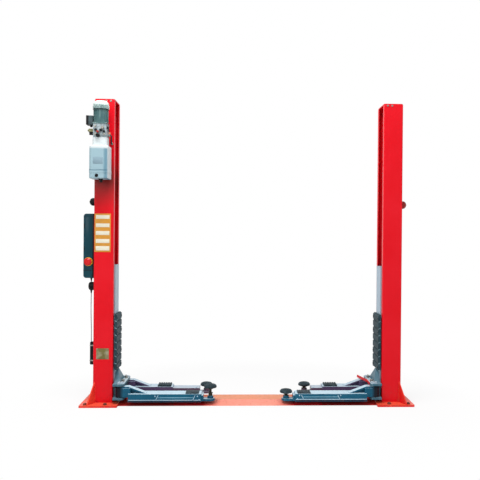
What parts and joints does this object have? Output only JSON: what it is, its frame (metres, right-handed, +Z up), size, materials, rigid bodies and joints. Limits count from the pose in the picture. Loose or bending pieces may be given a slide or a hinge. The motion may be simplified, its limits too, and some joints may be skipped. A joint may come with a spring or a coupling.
{
  "type": "two post car lift",
  "caption": "Hydraulic two post car lift with a floor plate between the posts, sliding carriages, telescopic swinging arms, screw pads and a power unit high on one post.",
  "frame": {"origin": "on the floor, midway between the posts and on their centre plane", "axes": "+Z up, +X from the post with the power unit to the other post, -Y towards the side that carries the power unit"},
  "size_m": [3.08, 0.625, 2.824],
  "materials": {
    "red_paint": "glossy red enamel",
    "arm_paint": "semi-gloss blue-green enamel",
    "carriage_grey": "satin grey-blue enamel",
    "control_paint": "satin dark teal enamel",
    "motor_paint": "satin grey-green enamel",
    "black_steel": "satin black enamel",
    "cast_aluminium": "machined",
    "chrome_ram": "polished",
    "zinc": "zinc plated",
    "pad_steel": "oiled steel",
    "white_tank": "smooth",
    "black_plastic": "moulded",
    "stop_button": "smooth",
    "grey_cable": "smooth sheath",
    "guard_rubber": "ribbed",
    "pad_rubber": "moulded"
  },
  "bodies": {
    "frame": {"left_column": "red_paint", "left_base_plate": "red_paint", "left_lifting_cylinder": "black_steel", "right_column": "red_paint", "right_base_plate": "red_paint", "right_lifting_cylinder": "black_steel", "column_top_plates": "red_paint", "floor_tie_plate": "red_paint", "floor_cover": "red_paint", "left_latch_cover": "black_plastic", "right_latch_cover": "black_plastic", "power_unit_bracket": "red_paint", "oil_tank": "white_tank", "valve_block": "cast_aluminium", "solenoid_valve": "black_plastic", "release_lever": "zinc", "pressure_pipe": "black_steel", "motor": "motor_paint", "motor_fan_cover": "motor_paint", "motor_terminal_box": "motor_paint", "control_box": "control_paint", "emergency_stop": "stop_button", "control_cable": "grey_cable", "cable_clips": "black_plastic"},
    "left_ram": {"left_lifting_ram": "chrome_ram"},
    "right_ram": {"right_lifting_ram": "chrome_ram"},
    "left_carriage": {"left_carriage": "carriage_grey", "left_slide_blocks": "black_plastic", "left_door_guard": "guard_rubber", "left_arm_bracket": "arm_paint", "left_pivot_pins": "zinc", "left_arm_locks": "zinc"},
    "right_carriage": {"right_carriage": "carriage_grey", "right_slide_blocks": "black_plastic", "right_door_guard": "guard_rubber", "right_arm_bracket": "arm_paint", "right_pivot_pins": "zinc", "right_arm_locks": "zinc", "right_release_bar": "red_paint"},
    "front_left_arm": {"front_left_outer_arm": "arm_paint"},
    "front_left_extension": {"front_left_arm_extension": "arm_paint"},
    "front_left_sleeve": {"front_left_pad_sleeve": "pad_steel"},
    "front_left_pad": {"front_left_pad_screw": "pad_steel", "front_left_lifting_pad": "pad_rubber"},
    "front_right_arm": {"front_right_outer_arm": "arm_paint"},
    "front_right_extension": {"front_right_arm_extension": "arm_paint"},
    "front_right_sleeve": {"front_right_pad_sleeve": "pad_steel"},
    "front_right_pad": {"front_right_pad_screw": "pad_steel", "front_right_lifting_pad": "pad_rubber"},
    "rear_left_arm": {"rear_left_outer_arm": "arm_paint"},
    "rear_left_extension": {"rear_left_arm_extension": "arm_paint"},
    "rear_left_sleeve": {"rear_left_pad_sleeve": "pad_steel"},
    "rear_left_pad": {"rear_left_pad_screw": "pad_steel", "rear_left_lifting_pad": "pad_rubber"},
    "rear_right_arm": {"rear_right_outer_arm": "arm_paint"},
    "rear_right_extension": {"rear_right_arm_extension": "arm_paint"},
    "rear_right_sleeve": {"rear_right_pad_sleeve": "pad_steel"},
    "rear_right_pad": {"rear_right_pad_screw": "pad_steel", "rear_right_lifting_pad": "pad_rubber"}
  },
  "joints": [
    {"name": "left_lift", "type": "slide", "parent": "frame", "child": "left_carriage", "axis": [0, 0, 1], "range_m": [0, 1.5]},
    {"name": "right_lift", "type": "slide", "parent": "frame", "child": "right_carriage", "axis": [0, 0, 1], "range_m": [0, 1.5]},
    {"name": "left_ram_slide", "type": "slide", "parent": "frame", "child": "left_ram", "axis": [0, 0, 1], "range_m": [0, 0.75]},
    {"name": "right_ram_slide", "type": "slide", "parent": "frame", "child": "right_ram", "axis": [0, 0, 1], "range_m": [0, 0.75]},
    {"name": "front_left_swing", "type": "hinge", "parent": "left_carriage", "child": "front_left_arm", "pos_m": [-1.18, -0.155, 0.12], "axis": [0, 0, -1], "range_deg": [0, 100]},
    {"name": "front_left_reach", "type": "slide", "parent": "front_left_arm", "child": "front_left_extension", "axis": [1, 0, 0], "range_m": [0, 0.28]},
    {"name": "front_left_sleeve_screw", "type": "slide", "parent": "front_left_extension", "child": "front_left_sleeve", "axis": [0, 0, 1], "range_m": [-0.024, 0.008]},
    {"name": "front_left_pad_screw_slide", "type": "slide", "parent": "front_left_sleeve", "child": "front_left_pad", "axis": [0, 0, 1], "range_m": [-0.024, 0.008]},
    {"name": "front_right_swing", "type": "hinge", "parent": "right_carriage", "child": "front_right_arm", "pos_m": [1.18, -0.155, 0.12], "axis": [0, 0, 1], "range_deg": [0, 100]},
    {"name": "front_right_reach", "type": "slide", "parent": "front_right_arm", "child": "front_right_extension", "axis": [-1, 0, 0], "range_m": [0, 0.28]},
    {"name": "front_right_sleeve_screw", "type": "slide", "parent": "front_right_extension", "child": "front_right_sleeve", "axis": [0, 0, 1], "range_m": [0, 0.032]},
    {"name": "front_right_pad_screw_slide", "type": "slide", "parent": "front_right_sleeve", "child": "front_right_pad", "axis": [0, 0, 1], "range_m": [0, 0.032]},
    {"name": "rear_left_swing", "type": "hinge", "parent": "left_carriage", "child": "rear_left_arm", "pos_m": [-1.18, 0.155, 0.12], "axis": [0, 0, 1], "range_deg": [0, 100]},
    {"name": "rear_left_reach", "type": "slide", "parent": "rear_left_arm", "child": "rear_left_extension", "axis": [1, 0, 0], "range_m": [-0.24, 0.04]},
    {"name": "rear_left_sleeve_screw", "type": "slide", "parent": "rear_left_extension", "child": "rear_left_sleeve", "axis": [0, 0, 1], "range_m": [0, 0.032]},
    {"name": "rear_left_pad_screw_slide", "type": "slide", "parent": "rear_left_sleeve", "child": "rear_left_pad", "axis": [0, 0, 1], "range_m": [0, 0.032]},
    {"name": "rear_right_swing", "type": "hinge", "parent": "right_carriage", "child": "rear_right_arm", "pos_m": [1.18, 0.155, 0.12], "axis": [0, 0, -1], "range_deg": [0, 100]},
    {"name": "rear_right_reach", "type": "slide", "parent": "rear_right_arm", "child": "rear_right_extension", "axis": [-1, 0, 0], "range_m": [-0.091, 0.189]},
    {"name": "rear_right_sleeve_screw", "type": "slide", "parent": "rear_right_extension", "child": "rear_right_sleeve", "axis": [0, 0, 1], "range_m": [0, 0.032]},
    {"name": "rear_right_pad_screw_slide", "type": "slide", "parent": "rear_right_sleeve", "child": "rear_right_pad", "axis": [0, 0, 1], "range_m": [0, 0.032]}
  ],
  "couplings": [
    {"joint": "right_lift", "follows": "left_lift", "ratio": 1},
    {"joint": "left_ram_slide", "follows": "left_lift", "ratio": 0.5},
    {"joint": "right_ram_slide", "follows": "left_lift", "ratio": 0.5},
    {"joint": "front_left_pad_screw_slide", "follows": "front_left_sleeve_screw", "ratio": 1},
    {"joint": "front_right_pad_screw_slide", "follows": "front_right_sleeve_screw", "ratio": 1},
    {"joint": "rear_left_pad_screw_slide", "follows": "rear_left_sleeve_screw", "ratio": 1},
    {"joint": "rear_right_pad_screw_slide", "follows": "rear_right_sleeve_screw", "ratio": 1}
  ]
}
